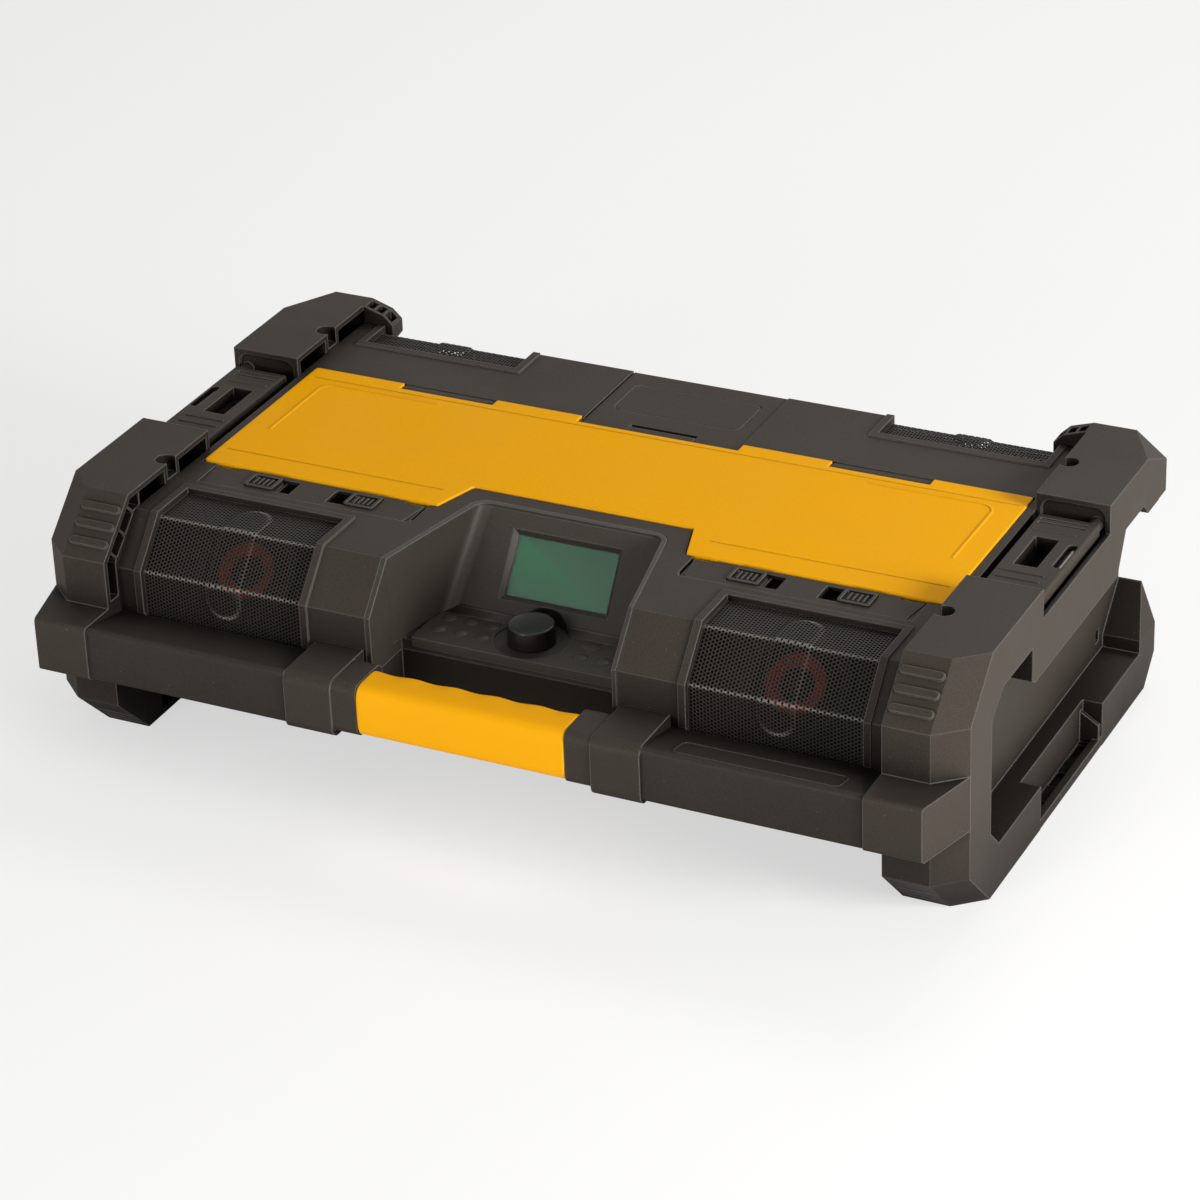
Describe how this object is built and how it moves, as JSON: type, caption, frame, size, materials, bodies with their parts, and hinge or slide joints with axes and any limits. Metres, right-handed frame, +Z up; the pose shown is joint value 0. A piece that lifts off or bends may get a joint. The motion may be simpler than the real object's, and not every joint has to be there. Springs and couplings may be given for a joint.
{
  "type": "jobsite radio",
  "caption": "Low rugged jobsite radio in stackable case form, with a hinged storage lid, slanted console, folded speaker grilles and a carrying handle.",
  "frame": {"origin": "on the floor under the middle of the footprint", "axes": "+X to the right seen from the handle, +Y from the handle to the back, +Z up"},
  "size_m": [0.61, 0.376, 0.164],
  "materials": {
    "black_moulding": "fine spark-eroded texture, warm black",
    "yellow_moulding": "satin, deep yellow",
    "yellow_grip": "soft, matt, yellow",
    "black_mesh": "matt black, perforated",
    "dark_control": "satin to gloss black",
    "keypad_black": "matt black",
    "display_glass": "clear with a green cast",
    "display_green": "unlit green",
    "steel": "plain",
    "driver_steel": "black, satin",
    "cone_black": "paper cone with a red ring",
    "seal_rubber": "soft, matt",
    "tray_black": "satin",
    "board_green": "solder mask",
    "heat_alloy": "extruded"
  },
  "bodies": {
    "radio": {"top_housing": "black_moulding", "console_insert": "black_moulding", "base_tub": "black_moulding", "front_handle": "black_moulding", "end_frame_left": "black_moulding", "end_frame_right": "black_moulding", "front_rail_left": "black_moulding", "front_rail_right": "black_moulding", "latch_strip_left": "black_moulding", "latch_strip_right": "black_moulding", "handle_grip": "yellow_grip", "front_grille_left": "black_mesh", "front_grille_right": "black_mesh", "rear_grille_left": "black_mesh", "rear_grille_right": "black_mesh", "keypad_plate": "keypad_black", "display_window": "display_glass", "display_module": "display_green", "lid_hinge_pins": "steel", "door_hinge_pin": "steel", "side_latch_pins": "steel", "case_screws": "steel", "battery_terminals": "steel", "front_driver_left": "driver_steel", "front_driver_right": "driver_steel", "rear_driver_left": "driver_steel", "rear_driver_right": "driver_steel", "front_cone_left": "cone_black", "front_cone_right": "cone_black", "lid_seal": "seal_rubber", "storage_tray": "tray_black", "battery_bay": "tray_black", "speaker_baffle_left": "tray_black", "speaker_baffle_right": "tray_black", "encoder_body": "tray_black", "main_board": "board_green", "key_board": "board_green", "heat_sink": "heat_alloy", "power_supply": "driver_steel"},
    "lid": {"storage_lid": "yellow_moulding", "lid_lugs": "yellow_moulding"},
    "door": {"bay_door": "black_moulding"},
    "catch": {"door_catch": "black_moulding"},
    "latch_arm_left": {"side_latch_left": "black_moulding"},
    "latch_arm_right": {"side_latch_right": "black_moulding"},
    "knob": {"tuning_knob": "dark_control", "encoder_shaft": "steel"},
    "slide_inner_left": {"lid_latch_inner_left": "black_moulding"},
    "slide_outer_left": {"lid_latch_outer_left": "black_moulding"},
    "slide_inner_right": {"lid_latch_inner_right": "black_moulding"},
    "slide_outer_right": {"lid_latch_outer_right": "black_moulding"},
    "key_front_1_body": {"key_front_1": "keypad_black"},
    "key_front_2_body": {"key_front_2": "keypad_black"},
    "key_front_3_body": {"key_front_3": "keypad_black"},
    "key_back_1_body": {"key_back_1": "keypad_black"},
    "key_back_2_body": {"key_back_2": "keypad_black"},
    "key_back_3_body": {"key_back_3": "keypad_black"},
    "key_front_4_body": {"key_front_4": "keypad_black"},
    "key_front_5_body": {"key_front_5": "keypad_black"},
    "key_oval_body": {"key_oval": "keypad_black"}
  },
  "joints": [
    {"name": "lid_swing", "type": "hinge", "parent": "radio", "child": "lid", "pos_m": [0, 0.095, 0.1479], "axis": [-1, 0, 0], "range_deg": [0, 95]},
    {"name": "door_swing", "type": "hinge", "parent": "radio", "child": "door", "pos_m": [0, 0.1655, 0.1421], "axis": [-1, 0, 0], "range_deg": [0, 95]},
    {"name": "catch_slide", "type": "slide", "parent": "door", "child": "catch", "axis": [0, 1, 0], "range_m": [0, 0.003], "stiffness_N_per_m": 300},
    {"name": "latch_arm_swing_left", "type": "hinge", "parent": "radio", "child": "latch_arm_left", "pos_m": [-0.296, 0, 0.1495], "axis": [0, -1, 0], "range_deg": [0, 100]},
    {"name": "latch_arm_swing_right", "type": "hinge", "parent": "radio", "child": "latch_arm_right", "pos_m": [0.296, 0, 0.1495], "axis": [0, 1, 0], "range_deg": [0, 100]},
    {"name": "slide_inner_left_travel", "type": "slide", "parent": "radio", "child": "slide_inner_left", "axis": [-1, 0, 0], "range_m": [0, 0.01]},
    {"name": "slide_outer_left_travel", "type": "slide", "parent": "radio", "child": "slide_outer_left", "axis": [1, 0, 0], "range_m": [0, 0.01]},
    {"name": "slide_inner_right_travel", "type": "slide", "parent": "radio", "child": "slide_inner_right", "axis": [1, 0, 0], "range_m": [0, 0.01]},
    {"name": "slide_outer_right_travel", "type": "slide", "parent": "radio", "child": "slide_outer_right", "axis": [-1, 0, 0], "range_m": [0, 0.01]},
    {"name": "knob_turn", "type": "hinge", "parent": "radio", "child": "knob", "pos_m": [-0.0032, -0.0845, 0.1], "axis": [0, 0, 1], "continuous": true},
    {"name": "key_front_1_press", "type": "slide", "parent": "radio", "child": "key_front_1_body", "axis": [0, 0, -1], "range_m": [0, 0.0008], "stiffness_N_per_m": 300},
    {"name": "key_front_2_press", "type": "slide", "parent": "radio", "child": "key_front_2_body", "axis": [0, 0, -1], "range_m": [0, 0.0008], "stiffness_N_per_m": 300},
    {"name": "key_front_3_press", "type": "slide", "parent": "radio", "child": "key_front_3_body", "axis": [0, 0, -1], "range_m": [0, 0.0008], "stiffness_N_per_m": 300},
    {"name": "key_back_1_press", "type": "slide", "parent": "radio", "child": "key_back_1_body", "axis": [0, 0, -1], "range_m": [0, 0.0008], "stiffness_N_per_m": 300},
    {"name": "key_back_2_press", "type": "slide", "parent": "radio", "child": "key_back_2_body", "axis": [0, 0, -1], "range_m": [0, 0.0008], "stiffness_N_per_m": 300},
    {"name": "key_back_3_press", "type": "slide", "parent": "radio", "child": "key_back_3_body", "axis": [0, 0, -1], "range_m": [0, 0.0008], "stiffness_N_per_m": 300},
    {"name": "key_front_4_press", "type": "slide", "parent": "radio", "child": "key_front_4_body", "axis": [0, 0, -1], "range_m": [0, 0.0008], "stiffness_N_per_m": 300},
    {"name": "key_front_5_press", "type": "slide", "parent": "radio", "child": "key_front_5_body", "axis": [0, 0, -1], "range_m": [0, 0.0008], "stiffness_N_per_m": 300},
    {"name": "key_oval_press", "type": "slide", "parent": "radio", "child": "key_oval_body", "axis": [0, 0, -1], "range_m": [0, 0.0008], "stiffness_N_per_m": 300}
  ]
}
